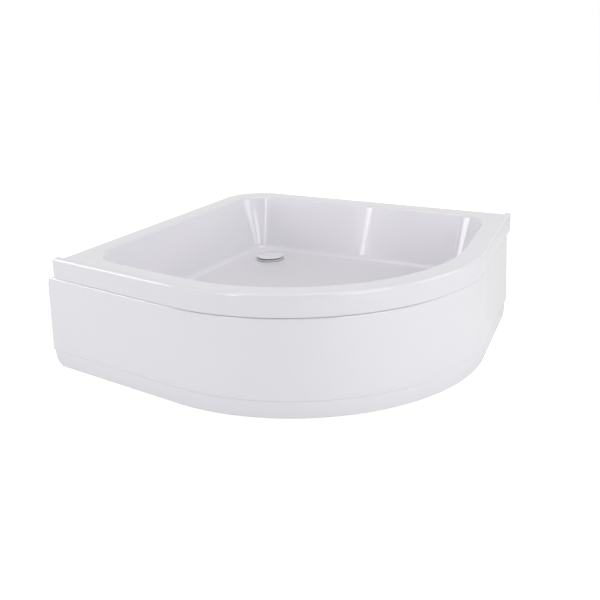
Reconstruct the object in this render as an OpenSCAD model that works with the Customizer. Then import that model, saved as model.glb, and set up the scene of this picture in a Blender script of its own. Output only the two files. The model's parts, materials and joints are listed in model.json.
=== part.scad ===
// Quadrant shower tray with a lift-off curved apron, on a steel leg frame.
// Lengths are in millimetres and angles in degrees.
// Pieces are drawn with the walls' corner at zero: u runs along one wall and v along the other, both
// towards the room. placed() then turns them so that the walls lie at +X and +Y.

/* [Plan] */
// Length of each wall edge of the rim
side_len = 900; // [860:5:1000]
// Angle by which the straight returns flare outwards
flare = 9; // [7:0.5:11]
// Distance of the front arc's centre from each wall
arc_centre = 460; // [440:5:480]
// Width of the front rim, from the outer edge to the basin
front_rim = 52; // [46:1:58]
// Width of the rim along the walls
wall_rim = 55; // [50:1:62]
// Radius of the rim's corner between the walls
back_corner_r = 120; // [90:5:140]
// Radius of the basin's corner between the walls
basin_back_r = 85; // [84:1:100]
// Radius of the basin's two front corners
basin_front_r = 110; // [100:1:125]

/* [Tray shell] */
// Height of the rim above the floor
rim_z = 305; // [298:1:320]
// Height of the basin's floor above the room's floor
basin_z = 150; // [144:1:158]
// Thickness of the shell
shell_t = 5; // [4:0.25:6]
// Height of the front lip
lip_drop = 55; // [48:1:62]
// Radius over the lip's top edge
lip_round = 7; // [6.5:0.5:9]
// Distance that the lip's ears reach past the wall edges
lip_over = 28; // [20:1:34]
// Radius of the ears' top corners
ear_corner_r = 8; // [4:1:14]
// Draft of the basin's walls
draft = 18; // [16:0.5:18.5]
// Radius between the basin's walls and its floor
floor_fillet = 20; // [16:1:24]
// Radius over the edge between the rim and the basin
ridge_round = 7; // [6.5:0.5:9]
// Depth of the turned-down flange along the walls
wall_flange = 18; // [12:1:22]

/* [Apron] */
// Gap between the lip and the apron's top edge
apron_gap = 2; // [1:0.5:4]
// Distance that the apron's face lies behind the lip's face
apron_inset = 4.5; // [3:0.5:6]
// Thickness of the apron
apron_t = 4; // [3:0.25:5]
// Radius over the apron's top edge
apron_round = 5.5; // [5.25:0.25:7]
// Depth of the apron's stiffening flanges
apron_flange = 14; // [10:1:16]
// Height of the crease above the floor
crease_z = 45; // [36:1:58]
// Distance that the crease stands in front of the lip's face
crease_out = 1.5; // [0.5:0.25:2.5]
// Radius under the crease, which is also how far the toe is set back
crease_round = 5.5; // [4:0.25:7]
// Gap between the apron and the floor
floor_gap = 2; // [1:0.5:4]
// Distance that the apron reaches past the wall edge at the u end
apron_over_u = 60; // [50:1:66]
// Distance that the apron reaches past the wall edge at the v end, less than zero where it stops short
apron_over_v = -4; // [-12:1:4]
// Radius of the apron's upper end corners
apron_top_corner = 16; // [8:1:24]
// Radius of the apron's lower end corners
apron_low_corner = 32; // [20:1:38]
// Width of each rib behind the apron
rib_w = 44; // [36:1:50]
// Thickness of each rib behind the apron
rib_t = 4; // [3:0.25:4.5]

/* [Frame] */
// Thickness of the board under the basin's floor
board_t = 16; // [12:1:18]
// Distance from the basin's edge to the board's edge
board_inset = 60; // [50:1:70]
// Width of the square rails
rail_w = 25; // [22:1:26]
// Wall of the square rails and uprights
rail_wall = 2; // [1.5:0.25:2.5]
// Distance from each wall to the middle of the back rails
back_rail = 105; // [95:1:115]
// Distance from the tray's side end back to the outer leg rail
side_rail_in = 80; // [72:1:100]
// Distance from the wall planes to the rails' back ends
rail_end_gap = 70; // [60:1:80]
// Width of the square uprights
upright_w = 20; // [18:1:21]
// Distance from the lip's face to the middle of the uprights
upright_in = 33; // [32:0.5:34]
// Thickness of the battens under the rim
batten_t = 18; // [12:1:20]
// Width of the battens under the rim
batten_w = 34; // [28:1:38]
// Thickness of the upright's top plates
plate_t = 3; // [2:0.25:4]
// Width of the plates over the uprights
plate_w = 60; // [56:1:70]
// Thickness of the end caps' heads
cap_t = 2.5; // [2:0.25:4]
// Length of the end caps' plugs
cap_plug = 12; // [8:1:16]

/* [Feet] */
// Radius of the foot pads
pad_r = 25; // [20:1:30]
// Height of the foot pads
pad_h = 14; // [12:1:16]
// Radius of the levelling spindles
spindle_r = 6; // [5:0.5:7]
// Height of the spindles' hexagon above the pad
drive_h = 8; // [6:1:10]
// Distance across the corners of the nuts
nut_d = 22; // [19:0.5:24]
// Height of the welded nuts
weld_nut_h = 10; // [8:0.5:12]
// Height of the lock nuts
lock_nut_h = 8; // [6:0.5:9]
// Travel of each foot up and down
foot_travel = 8; // [4:1:9]
// Distance from the lip's face back to the middle rail's front leg
front_leg_in = 137; // [125:1:150]
// Distance from the lip's face back to the diagonal leg
diagonal_leg_in = 167; // [155:1:180]

/* [Wall brackets] */
// Width of the wall brackets
bracket_w = 60; // [52:1:70]
// Depth of the wall brackets' upright leg
bracket_h = 48; // [44:1:56]
// Thickness of the wall brackets
bracket_t = 3; // [2:0.25:4]
// Distance of the wall brackets from the corner
bracket_pos = 450; // [400:5:600]
// Radius of the wall fixing holes
wall_hole_r = 3.5; // [2.5:0.25:4]
// Distance between the two wall fixing holes of a bracket
wall_hole_gap = 34; // [30:1:38]
// Radius of the wood screws
screw_r = 2; // [1.5:0.25:2.5]
// Radius of the wood screws' heads
screw_head_r = 4; // [3.5:0.25:5]

/* [Waste] */
// Distance of the drain from both walls
drain_pos = 212; // [206:1:220]
// Radius of the hole in the basin's floor
drain_hole_r = 32; // [31:0.25:34]
// Radius of the waste flange
flange_r = 44; // [42:0.5:48]
// Thickness of the waste flange
flange_t = 2.5; // [2:0.25:3.5]
// Thickness of the waste seals
seal_t = 1.5; // [1:0.25:2.5]
// Wall of the waste's plastic parts
waste_wall = 3; // [2.5:0.25:3.5]
// Radius of the drain cover
cover_r = 41; // [38:0.5:43]
// Height of the gap under the drain cover
cover_gap = 4; // [3:0.5:6]
// Thickness of the drain cover at its middle
cover_dome = 6; // [4:0.5:8]
// Outer radius of the trap's body
trap_r = 46; // [42:0.5:50]
// Height of the trap's bottom above the floor
trap_z = 34; // [28:1:38]
// Outer radius of the waste pipe
pipe_r = 20; // [18:0.25:20.5]
// Height of the waste pipe's axis above the floor
pipe_z = 56; // [54:0.5:58]
// Distance from the wall plane to the waste pipe's end
pipe_end = 20; // [10:1:30]
// Length of the pipe's free end, up to its stop collar
pipe_stub = 40; // [30:1:50]
// Length of the dip tube of the trap's insert
dip_len = 80; // [70:1:88]

/* [Hidden] */
$fn = 64;

small = 1;                 // overlap that leaves no skin where one shape cuts another
seam_step = 0.02;          // how far a straight stretch lies inside the round that it runs into
running_gap = 0.06;        // between a turning spindle and its bore
hole_gap = 1;              // between a spindle and the hole in its rail
wall_relief = 0.5;         // how far the wall edge stands back beside the ears, which lean over it
loose_gap = 0.3;           // between parts that come apart
seat_gap = 0.15;           // between fixed parts that slip together
profile_steps = 10;        // straight steps in a quarter round of a section

// Plan of the front: a return, one arc and the mirrored return
front_r = (side_len - arc_centre) * cos(flare) + arc_centre * sin(flare);
return_len = arc_centre * (sin(flare) + cos(flare)) - side_len * sin(flare);
arc_span = 90 + 2 * flare;

// Basin section, as distances inwards from the basin's edge
crease_in = (floor_fillet + ridge_round) * cos(draft)
    + (rim_z - basin_z - (floor_fillet + ridge_round) * (1 - sin(draft))) * tan(draft);
corner_v = wall_rim + basin_front_r;
corner_u = (side_len * cos(flare) - front_rim - basin_front_r + corner_v * sin(flare)) / cos(flare);
basin_arc_r = front_r - front_rim;
arc_to_corner = arc_centre * (sin(flare) + cos(flare)) - corner_u * sin(flare) - corner_v * cos(flare);
back_centre = wall_rim + basin_back_r;
disc_from = arc_centre * 0.6;      // where the front's disc stops, short of the straight stretches
relief_from = side_len - 4 * shell_t;
lip_z = rim_z - lip_drop;
under_rim = rim_z - shell_t;
under_basin = basin_z - shell_t;

// Apron section, as distances outwards from the lip's face
apron_top = lip_z - apron_gap;
toe_out = crease_out - crease_round;
rib_low = crease_z + crease_round;
rib_high = apron_top - apron_round;

// Heights of the frame
board_z = under_basin - board_t;
top_rail_z = board_z - rail_w;
leg_rail_z = top_rail_z - rail_w;
batten_z = under_rim - batten_t;
plate_z = batten_z - plate_t;
screw_bite = batten_t * 0.7;       // how far a wood screw goes into its batten
bracket_screw_v = batten_w * 0.6;
wall_hole_z = batten_z - bracket_t - bracket_h * 0.6;
upright_r = front_r - upright_in;
front_reach = arc_centre + upright_r + rail_w / 2 - cap_t;
weld_nut_z = leg_rail_z - weld_nut_h;
lock_nut_z = weld_nut_z - lock_nut_h;
spindle_top = leg_rail_z + rail_w - rail_wall - foot_travel - small;
spindle_foot = pad_h / 3;
pad_edge = 2;
side_rail_over = 2 * rail_w;       // how far the outer leg rail runs past the arc's centre
side_rail = side_len - side_rail_in;
front_leg = arc_centre + front_r - front_leg_in;
diagonal_leg = arc_centre + (front_r - diagonal_leg_in) * cos(45);
back_rail_len = side_rail + rail_w - rail_end_gap;
diagonal_start = arc_centre + rail_w / 2;
diagonal_end = arc_centre + (upright_r + rail_w / 2 - cap_t) * cos(45);
LEGS = [[back_rail, back_rail], [back_rail, side_rail], [arc_centre, front_leg],
    [side_rail, back_rail], [side_rail, arc_centre], [diagonal_leg, diagonal_leg]];

// Waste stack, from the basin's floor down
flange_z = basin_z + seal_t;
flange_top = flange_z + flange_t;
seal_back = 1;             // how far a seal stays back from the edge that covers it
sleeve_r = drain_hole_r - seat_gap * 2;
sleeve_bore = sleeve_r - waste_wall;
seat_depth = 4;
insert_rim_t = 2;
insert_seat = flange_top - seat_depth;
insert_top = insert_seat + insert_rim_t;
trap_top = under_basin - seal_t * 2;
trap_lid_over = 4;
trap_lid_r = trap_r + trap_lid_over;
trap_lid_t = 6;
board_hole_gap = 4;
insert_slack = 3;
insert_r = sleeve_bore - insert_slack;
insert_wall = 2.5;
ring_h = 4;
seal_len = 6;
cover_z = flange_top + cover_gap;
cover_edge = 1.5;          // height and chamfer of the drain cover's edge
hub_r = insert_r - insert_wall - loose_gap;
hub_wall = 2;
hub_deep = 8;              // how far the cover's prongs reach into the insert
prong_w = 12;
pipe_wall = 2;
spigot_wall = 4;
spigot_len = 24;
spigot_end = drain_pos - trap_r - spigot_len;
nut_len = 18;
outlet_nut_r = pipe_r + 9;

// The catches between the frame and the apron
catch_drop = 58;
catch_z = apron_top - catch_drop;
catch_h = 22;
catch_w = 36;
strike_t = 2;
strike_face = apron_inset + apron_t + rib_t + strike_t;
// How far the strike plates curve over their width
catch_bow = front_r - sqrt(front_r * front_r - catch_w * catch_w / 4);
catch_depth = upright_in - upright_w / 2 - strike_face - loose_gap - catch_bow;
magnet_t = catch_depth / 2;
CATCH_ANGLES = [0, 45, 90];

// The origin is the middle of the outline, on the floor
low_u = -lip_over * cos(flare);
low_v = -apron_over_u * cos(flare) + apron_inset * sin(flare);
high = arc_centre + front_r + crease_out;
corner_x = (high + low_u) / 2;
corner_y = (high + low_v) / 2;

function round_pts(x, z, r, from, to) =
    [for (i = [0:profile_steps]) let (a = from + (to - from) * i / profile_steps)
        [x + r * cos(a), z + r * sin(a)]];

// The basin's section grown outwards by g, as [distance inwards, height]
function basin_line(g) = concat(
    round_pts(0, rim_z - ridge_round, ridge_round - g, 90, draft),
    round_pts(crease_in, basin_z + floor_fillet, floor_fillet + g, 180 + draft, 270));

// Distance outwards of the apron's inner face, which leans out towards the crease
function apron_inner(z) = -apron_inset - apron_t
    + (apron_inset + crease_out) * (rib_high - z) / (rib_high - rib_low);

// Frame positions
module placed() translate([corner_x, corner_y, 0]) rotate([0, 0, 180]) children();
module at_arc(angle) translate([arc_centre, arc_centre, 0]) rotate([0, 0, angle]) children();
module swapped() mirror([1, -1, 0]) children();

// Extrudes a section, drawn outwards, from the origin towards -Y, and runs it into the round at either end
module straight(length, run_out = 0) translate([-seam_step, small, 0]) rotate([90, 0, 0])
    linear_extrude(length + small + run_out) children();

// Sweeps a section, drawn outwards from the lip's face, along the whole front
module along_front(past_u, past_v) {
    at_arc(-flare) {
        rotate_extrude(angle = arc_span, $fn = 180) translate([front_r, 0]) children();
        straight(return_len + past_u) translate([front_r, 0]) children();
    }
    at_arc(90 + flare) mirror([0, 1, 0]) straight(return_len + past_v) translate([front_r, 0]) children();
}

// What a rounded end corner of a swept piece loses; way is 1 at a top corner and -1 at a bottom one
module end_corner(past, z, r, way) {
    depth = 4 * apron_flange;
    translate([front_r - depth / 2, -return_len - past, z])
        mirror([0, 0, way > 0 ? 0 : 1]) difference() {
            translate([0, -small, -r]) cube([depth, r + small, r + small]);
            translate([-small, r, -r]) rotate([0, 90, 0]) cylinder(r = r, h = depth + 2 * small);
        }
}
module end_corner_u(past, z, r, way) at_arc(-flare) end_corner(past, z, r, way);
module end_corner_v(past, z, r, way) swapped() end_corner_u(past, z, r, way);

// Section of the basin from an arc's centre out to its wall
module basin_section(r, g, top)
    polygon(concat([[0, top], [r, top]], [for (p = basin_line(g)) [r - p[0], p[1]]], [[0, basin_z - g]]));

// Outline between the arcs' centres, with a small overlap outwards
module middle_outline() {
    near = back_centre - small;
    far = corner_u + small;
    root = [for (a = [-flare, 90 + flare]) arc_centre * [1, 1]
        + (basin_arc_r - basin_front_r + small) * [cos(a), sin(a)]];
    polygon([[near, near], [far, near], [far, corner_v], root[0], root[1], [corner_v, far], [near, far]]);
}

// Solid inside the basin's walls, grown outwards by g
module basin_fill(g, top) {
    bottom = basin_z - g;
    translate([back_centre, back_centre, 0]) rotate([0, 0, 180]) rotate_extrude(angle = 90, $fn = 96)
        basin_section(basin_back_r, g, top);
    for (side = [0, 1]) mirror([side, -side, 0]) {
        // wall side
        translate([back_centre, back_centre, 0]) rotate([0, 0, -90])
            mirror([0, 1, 0]) straight(corner_u - back_centre, small) basin_section(basin_back_r, g, top);
        // front corner, and the return that leaves it
        at_arc(-flare) translate([basin_arc_r - basin_front_r - seam_step, -arc_to_corner, 0])
            mirror([0, 1, 0]) {
                rotate_extrude(angle = 90 - flare, $fn = 96) basin_section(basin_front_r, g, top);
                rotate([90, 0, 0]) linear_extrude(arc_to_corner + small)
                    basin_section(basin_front_r, g, top);
            }
    }
    at_arc(-flare) rotate_extrude(angle = arc_span, $fn = 180) basin_section(basin_arc_r, g, top);
    translate([0, 0, bottom]) linear_extrude(top - bottom) middle_outline();
}

// The part of a disc about the front arc's centre that lies towards the front
module front_disc(r, h) intersection() {
    translate([arc_centre, arc_centre, 0]) cylinder(r = r, h = h, $fn = 180);
    translate([disc_from, disc_from, -small]) cube([side_len, side_len, h + 2 * small]);
}

// Flat slab with the rim's outline, set in by a along the front
module rim_slab(a, z, h) {
    straight_r = front_r - a - seam_step;
    tangent_u = arc_centre + straight_r * cos(flare);
    tangent_v = arc_centre - straight_r * sin(flare);
    end_u = tangent_u - tangent_v * tan(flare);
    translate([0, 0, z]) {
        linear_extrude(h) polygon([[back_corner_r, 0], [relief_from, 0], [relief_from, wall_relief],
            [end_u, wall_relief], [tangent_u, tangent_v], [tangent_v, tangent_u], [wall_relief, end_u],
            [wall_relief, relief_from], [0, relief_from], [0, back_corner_r]]);
        front_disc(front_r - a, h);
        translate([back_corner_r, back_corner_r, 0]) cylinder(r = back_corner_r, h = h, $fn = 96);
    }
}

module lip_section() polygon(concat(
    [[-lip_round * 2, under_rim + seam_step], [-lip_round * 2, rim_z]],
    round_pts(-lip_round, rim_z - lip_round, lip_round, 90, 0),
    [[0, lip_z + small], [-small, lip_z], [-shell_t, lip_z]],
    round_pts(-lip_round, rim_z - lip_round, lip_round - shell_t, 0, 90)));

module tray_shell() color("white") placed() difference() {
    union() {
        rim_slab(lip_round * 1.5, under_rim, shell_t - seam_step);
        basin_fill(shell_t, under_rim + small);
        difference() {
            along_front(lip_over, lip_over) lip_section();
            end_corner_u(lip_over, rim_z, ear_corner_r, 1);
            end_corner_v(lip_over, rim_z, ear_corner_r, 1);
        }
        translate([0, 0, under_rim - wall_flange]) {
            for (side = [0, 1]) mirror([side, -side, 0]) {
                translate([back_corner_r, 0, 0])
                    cube([relief_from - back_corner_r, shell_t, wall_flange + small]);
                translate([back_corner_r, wall_relief, 0])
                    cube([side_len - shell_t - back_corner_r, shell_t - wall_relief, wall_flange + small]);
            }
            translate([back_corner_r, back_corner_r, 0]) rotate([0, 0, 180])
                rotate_extrude(angle = 90, $fn = 96)
                    translate([back_corner_r - shell_t, 0]) square([shell_t, wall_flange + small]);
        }
    }
    basin_fill(0, rim_z + small);
    translate([drain_pos, drain_pos, under_basin - small])
        cylinder(r = drain_hole_r, h = shell_t + 2 * small);
}

module base_board() color("burlywood") placed() {
    near = wall_rim + board_inset;
    root = basin_front_r - board_inset;
    edge = corner_u + root;
    difference() {
        translate([0, 0, board_z]) {
            linear_extrude(board_t) polygon([[near, back_centre], [back_centre, near], [corner_u, near],
                [edge, corner_v], [edge, arc_centre], [arc_centre, edge], [corner_v, edge],
                [near, corner_u]]);
            front_disc(basin_arc_r - board_inset, board_t);
            translate([back_centre, back_centre, 0]) cylinder(r = back_centre - near, h = board_t);
            for (centre = [[corner_u, corner_v], [corner_v, corner_u]])
                translate([centre[0], centre[1], 0]) cylinder(r = root, h = board_t);
        }
        translate([drain_pos, drain_pos, board_z - small])
            cylinder(r = trap_lid_r + board_hole_gap, h = board_t + 2 * small);
    }
}

// Battens under the rim
module front_batten() color("burlywood") placed() {
    middle = front_r - upright_in;
    at_arc(-flare) rotate_extrude(angle = arc_span, $fn = 180)
        translate([middle - batten_w / 2, batten_z]) square([batten_w, batten_t]);
}
module wall_batten() translate([back_centre, shell_t, batten_z])
    cube([corner_u - back_centre, batten_w, batten_t]);
module wall_batten_u() color("burlywood") placed() wall_batten();
module wall_batten_v() color("burlywood") placed() swapped() wall_batten();

// Square tube along +X from zero, its middle line at z = 0
module tube(length, width) rotate([90, 0, 90]) linear_extrude(length) difference() {
    square(width, center = true);
    square(width - 2 * rail_wall, center = true);
}
module rail_at(u, v, z, turn, length)
    translate([u, v, z + rail_w / 2]) rotate([0, 0, turn]) tube(length, rail_w);
module leg_holes() for (p = LEGS) translate([p[0], p[1], leg_rail_z - small])
    cylinder(r = spindle_r + hole_gap, h = rail_wall + 2 * small);

module top_rail_back() color("gainsboro") placed()
    rail_at(rail_end_gap, back_rail, top_rail_z, 0, back_rail_len);
module top_rail_middle() color("gainsboro") placed()
    rail_at(rail_end_gap, arc_centre, top_rail_z, 0, front_reach - rail_end_gap);
module leg_rail_back() color("gainsboro") placed() difference() {
    rail_at(back_rail, rail_end_gap, leg_rail_z, 90, back_rail_len);
    leg_holes();
}
module leg_rail_middle() color("gainsboro") placed() difference() {
    rail_at(arc_centre, rail_end_gap, leg_rail_z, 90, front_reach - rail_end_gap);
    leg_holes();
}
module leg_rail_side() color("gainsboro") placed() difference() {
    rail_at(side_rail, rail_end_gap, leg_rail_z, 90, arc_centre + side_rail_over - rail_end_gap);
    leg_holes();
}
module leg_rail_diagonal() color("gainsboro") placed() difference() {
    rail_at(arc_centre, arc_centre, leg_rail_z, 45, (diagonal_end - arc_centre) / cos(45));
    leg_holes();
    // its inner end is cut off flush with the middle rail's side
    translate([diagonal_start - 2 * rail_w, arc_centre - rail_w, leg_rail_z - small])
        cube([2 * rail_w, 3 * rail_w, rail_w + 2 * small]);
}

// Uprights under the front batten
module upright(angle, foot_z) at_arc(angle) translate([upright_r, 0, foot_z]) rotate([0, -90, 0])
    tube(plate_z - foot_z, upright_w);
module upright_u() color("gainsboro") placed() upright(CATCH_ANGLES[0], top_rail_z + rail_w);
module upright_diagonal() color("gainsboro") placed() upright(CATCH_ANGLES[1], leg_rail_z + rail_w);
module upright_v() color("gainsboro") placed() upright(CATCH_ANGLES[2], leg_rail_z + rail_w);
module screw_hole(under, h)
    translate([0, 0, under - small]) cylinder(r = screw_r + seat_gap, h = h + 2 * small);
module upright_plates() color("gainsboro") placed() for (angle = CATCH_ANGLES) at_arc(angle) difference() {
    translate([upright_r - batten_w / 2, -plate_w / 2, plate_z]) cube([batten_w, plate_w, plate_t]);
    for (way = [-1, 1]) translate([upright_r, way * (plate_w + upright_w) / 4, 0])
        screw_hole(plate_z, plate_t);
}
module wood_screw(under, grip) {
    translate([0, 0, under - screw_head_r / 2]) cylinder(r = screw_head_r, h = screw_head_r / 2);
    translate([0, 0, under - small / 2]) cylinder(r = screw_r, h = grip);
}
module plate_screws() color("silver") placed() for (angle = CATCH_ANGLES) at_arc(angle) for (way = [-1, 1])
    translate([upright_r, way * (plate_w + upright_w) / 4, 0]) wood_screw(plate_z, plate_t + screw_bite);

// End cap for a rail whose open end is at zero and faces -X
module end_cap() {
    plug = rail_w - 2 * rail_wall - 2 * seat_gap;
    translate([-cap_t, -rail_w / 2, 0]) cube([cap_t, rail_w, rail_w]);
    translate([-small / 2, -plug / 2, rail_wall + seat_gap]) cube([cap_plug, plug, plug]);
}
module cap_at(u, v, z, turn) translate([u, v, z]) rotate([0, 0, turn]) end_cap();
module rail_end_caps() color("dimgray") placed() {
    far_end = rail_end_gap + back_rail_len;
    cap_at(rail_end_gap, back_rail, top_rail_z, 0);
    cap_at(far_end, back_rail, top_rail_z, 180);
    cap_at(rail_end_gap, arc_centre, top_rail_z, 0);
    cap_at(front_reach, arc_centre, top_rail_z, 180);
    for (u = [back_rail, arc_centre, side_rail]) cap_at(u, rail_end_gap, leg_rail_z, 90);
    cap_at(back_rail, far_end, leg_rail_z, -90);
    cap_at(arc_centre, front_reach, leg_rail_z, -90);
    cap_at(side_rail, arc_centre + side_rail_over, leg_rail_z, -90);
    cap_at(diagonal_end, diagonal_end, leg_rail_z, 45 + 180);
}

// Levelling feet
module nut(z, h) for (p = LEGS) translate([p[0], p[1], z]) difference() {
    cylinder(d = nut_d, h = h, $fn = 6);
    translate([0, 0, -small]) cylinder(r = spindle_r + running_gap, h = h + 2 * small);
}
module weld_nuts() color("silver") placed() nut(weld_nut_z, weld_nut_h);
module lock_nuts() color("silver") placed() nut(lock_nut_z, lock_nut_h);
module foot_pad(i) color("dimgray") placed() translate([LEGS[i][0], LEGS[i][1], 0]) rotate_extrude()
    polygon([[0, 0], [pad_r - pad_edge, 0], [pad_r, pad_edge], [pad_r, spindle_foot],
        [spindle_r * 2, pad_h], [spindle_r + running_gap, pad_h],
        [spindle_r + running_gap, spindle_foot], [0, spindle_foot]]);
module foot_spindle(i) color("silver") placed() translate([LEGS[i][0], LEGS[i][1], 0]) {
    translate([0, 0, spindle_foot]) cylinder(r = spindle_r, h = spindle_top - spindle_foot);
    translate([0, 0, pad_h]) cylinder(r = spindle_r * 1.6, h = drive_h, $fn = 6);
}

// Wall brackets, drawn on the u wall
module wall_bracket() difference() {
    translate([bracket_pos - bracket_w / 2, 0, batten_z - bracket_t - bracket_h]) {
        cube([bracket_w, bracket_t, bracket_h + bracket_t]);
        translate([0, 0, bracket_h]) cube([bracket_w, batten_w, bracket_t]);
    }
    for (way = [-1, 1]) translate([bracket_pos + way * wall_hole_gap / 2, -small, wall_hole_z])
        rotate([-90, 0, 0]) cylinder(r = wall_hole_r, h = bracket_t + 2 * small);
    for (way = [-1, 1]) translate([bracket_pos + way * bracket_w / 4, bracket_screw_v, 0])
        screw_hole(batten_z - bracket_t, bracket_t);
}
module wall_bracket_u() color("silver") placed() wall_bracket();
module wall_bracket_v() color("silver") placed() swapped() wall_bracket();
module bracket_screws() color("silver") placed() for (side = [0, 1]) mirror([side, -side, 0])
    for (way = [-1, 1]) translate([bracket_pos + way * bracket_w / 4, bracket_screw_v, 0])
        wood_screw(batten_z - bracket_t, bracket_t + screw_bite);

// Waste, about the drain's axis
module at_drain() placed() translate([drain_pos, drain_pos, 0]) children();
module ring(inner, outer, z, h) rotate_extrude() translate([inner, z]) square([outer - inner, h]);

module waste_flange() color("whitesmoke") at_drain() rotate_extrude() polygon([
    [sleeve_bore, trap_top - trap_lid_t], [sleeve_r, trap_top - trap_lid_t], [sleeve_r, flange_z],
    [flange_r, flange_z], [flange_r, flange_z + flange_t / 2], [flange_r - flange_t / 2, flange_top],
    [sleeve_bore + insert_wall, flange_top], [sleeve_bore + insert_wall, insert_seat],
    [sleeve_bore, insert_seat]]);
module upper_seal() color("dimgray") at_drain() ring(drain_hole_r, flange_r - seal_back, basin_z, seal_t);
module lower_seal() color("dimgray") at_drain()
    ring(drain_hole_r, trap_lid_r - seal_back, trap_top, seal_t * 2);

module trap_body() color("whitesmoke") at_drain() difference() {
    union() {
        translate([0, 0, trap_top - trap_lid_t]) cylinder(r = trap_lid_r, h = trap_lid_t);
        translate([0, 0, trap_z]) cylinder(r = trap_r, h = trap_top - trap_lid_t - trap_z + small);
        translate([0, 0, pipe_z]) rotate([90, 0, 0])
            cylinder(r = pipe_r + spigot_wall, h = trap_r + spigot_len);
    }
    translate([0, 0, trap_z + waste_wall])
        cylinder(r = trap_r - waste_wall, h = trap_top - trap_lid_t - trap_z - waste_wall);
    translate([0, 0, trap_z + waste_wall]) cylinder(r = sleeve_r + seat_gap, h = trap_top - trap_z);
    translate([0, 0, pipe_z]) rotate([90, 0, 0])
        cylinder(r = pipe_r - pipe_wall, h = trap_r + spigot_len + small);
    translate([0, -trap_r, pipe_z]) rotate([90, 0, 0])
        cylinder(r = pipe_r + seat_gap, h = spigot_len + small);
}

module trap_insert() color("whitesmoke") at_drain() rotate_extrude() polygon([
    [insert_r - insert_wall, insert_seat - dip_len], [insert_r, insert_seat - dip_len],
    [insert_r, insert_seat], [sleeve_bore + insert_wall - loose_gap, insert_seat],
    [sleeve_bore + insert_wall - loose_gap, insert_top],
    [insert_r - insert_wall, insert_top]]);
module insert_ring() color("dimgray") at_drain()
    ring(insert_r, sleeve_bore - loose_gap, insert_seat - 3 * ring_h, ring_h);

module drain_cover() color("white") at_drain() {
    hub_z = insert_seat - hub_deep;
    rotate_extrude() polygon([[0, cover_z], [cover_r - cover_edge, cover_z],
        [cover_r, cover_z + cover_edge],
        [cover_r - cover_edge, cover_z + 2 * cover_edge], [cover_r * 0.75, cover_z + cover_dome * 0.75],
        [cover_r * 0.4, cover_z + cover_dome * 0.95], [0, cover_z + cover_dome]]);
    intersection() {
        ring(hub_r - hub_wall, hub_r, hub_z, cover_z - hub_z + small);
        for (turn = [0, 60, 120]) rotate([0, 0, turn]) translate([-cover_r, -prong_w / 2, hub_z - small])
            cube([2 * cover_r, prong_w, cover_z - hub_z + 3 * small]);
    }
    // stops that stand on the insert's rim
    for (turn = [0:120:240]) rotate([0, 0, turn]) translate([hub_r - hub_wall, -prong_w / 8, insert_top])
        cube([hub_wall + insert_wall, prong_w / 4, cover_z - insert_top + small]);
}

// The waste pipe and its compression joint, along the spigot towards the u wall
module on_spigot(v) placed() translate([drain_pos, v, pipe_z]) rotate([90, 0, 0]) children();
module outlet_seal() color("dimgray") on_spigot(spigot_end)
    ring(pipe_r + seat_gap, pipe_r + spigot_wall, 0, seal_len);
module outlet_nut() color("whitesmoke")
    on_spigot(spigot_end + nut_len - seal_len - spigot_wall) difference() {
    cylinder(r = outlet_nut_r, h = nut_len, $fn = 10);
    translate([0, 0, -small])
        cylinder(r = pipe_r + spigot_wall + seat_gap, h = nut_len - spigot_wall + small);
    cylinder(r = pipe_r + seat_gap, h = nut_len + small);
}
module waste_pipe() color("whitesmoke") on_spigot(drain_pos - trap_r - small) difference() {
    length = drain_pos - trap_r - small - pipe_end;
    union() {
        cylinder(r = pipe_r, h = length);
        translate([0, 0, length - pipe_stub - spigot_wall])
            cylinder(r = pipe_r + pipe_wall, h = spigot_wall);
    }
    translate([0, 0, -small]) cylinder(r = pipe_r - pipe_wall, h = drain_pos);
}

// Apron
module apron_section() {
    low = floor_gap;
    back = -apron_inset - apron_flange;
    polygon(concat(
        [[back, apron_top - apron_t], [back, apron_top]],
        round_pts(-apron_inset - apron_round, apron_top - apron_round, apron_round, 90, 0),
        round_pts(toe_out, crease_z + crease_round, crease_round, 0, -90),
        [[toe_out, low + small], [toe_out - small, low], [back, low], [back, low + apron_t]],
        [[toe_out - apron_t, low + apron_t], [toe_out - apron_t, crease_z],
            [crease_out - apron_t, crease_z + crease_round]],
        round_pts(-apron_inset - apron_round, apron_top - apron_round, apron_round - apron_t, 0, 90)));
}
module apron_panel() color("white") placed() difference() {
    along_front(apron_over_u, apron_over_v) apron_section();
    end_corner_u(apron_over_u, apron_top, apron_top_corner, 1);
    end_corner_u(apron_over_u, floor_gap, apron_low_corner, -1);
    end_corner_v(apron_over_v, apron_top, apron_top_corner, 1);
    end_corner_v(apron_over_v, floor_gap, apron_low_corner, -1);
}
// Stretch of the front arc, w wide, for a section drawn outwards from the lip's face
module arc_stretch(angle, w) {
    half = asin(w / 2 / front_r);
    at_arc(angle - half) rotate_extrude(angle = 2 * half, $fn = 180) translate([front_r, 0]) children();
}
module apron_ribs() color("whitesmoke") placed() for (angle = CATCH_ANGLES) arc_stretch(angle, rib_w)
    polygon([[apron_inner(rib_low), rib_low], [apron_inner(rib_high), rib_high],
        [strike_t - strike_face, rib_high], [strike_t - strike_face, rib_low]]);
module strike_plates() color("silver") placed() for (angle = CATCH_ANGLES) arc_stretch(angle, catch_w)
    translate([-strike_face, catch_z]) square([strike_t, catch_h]);

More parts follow.
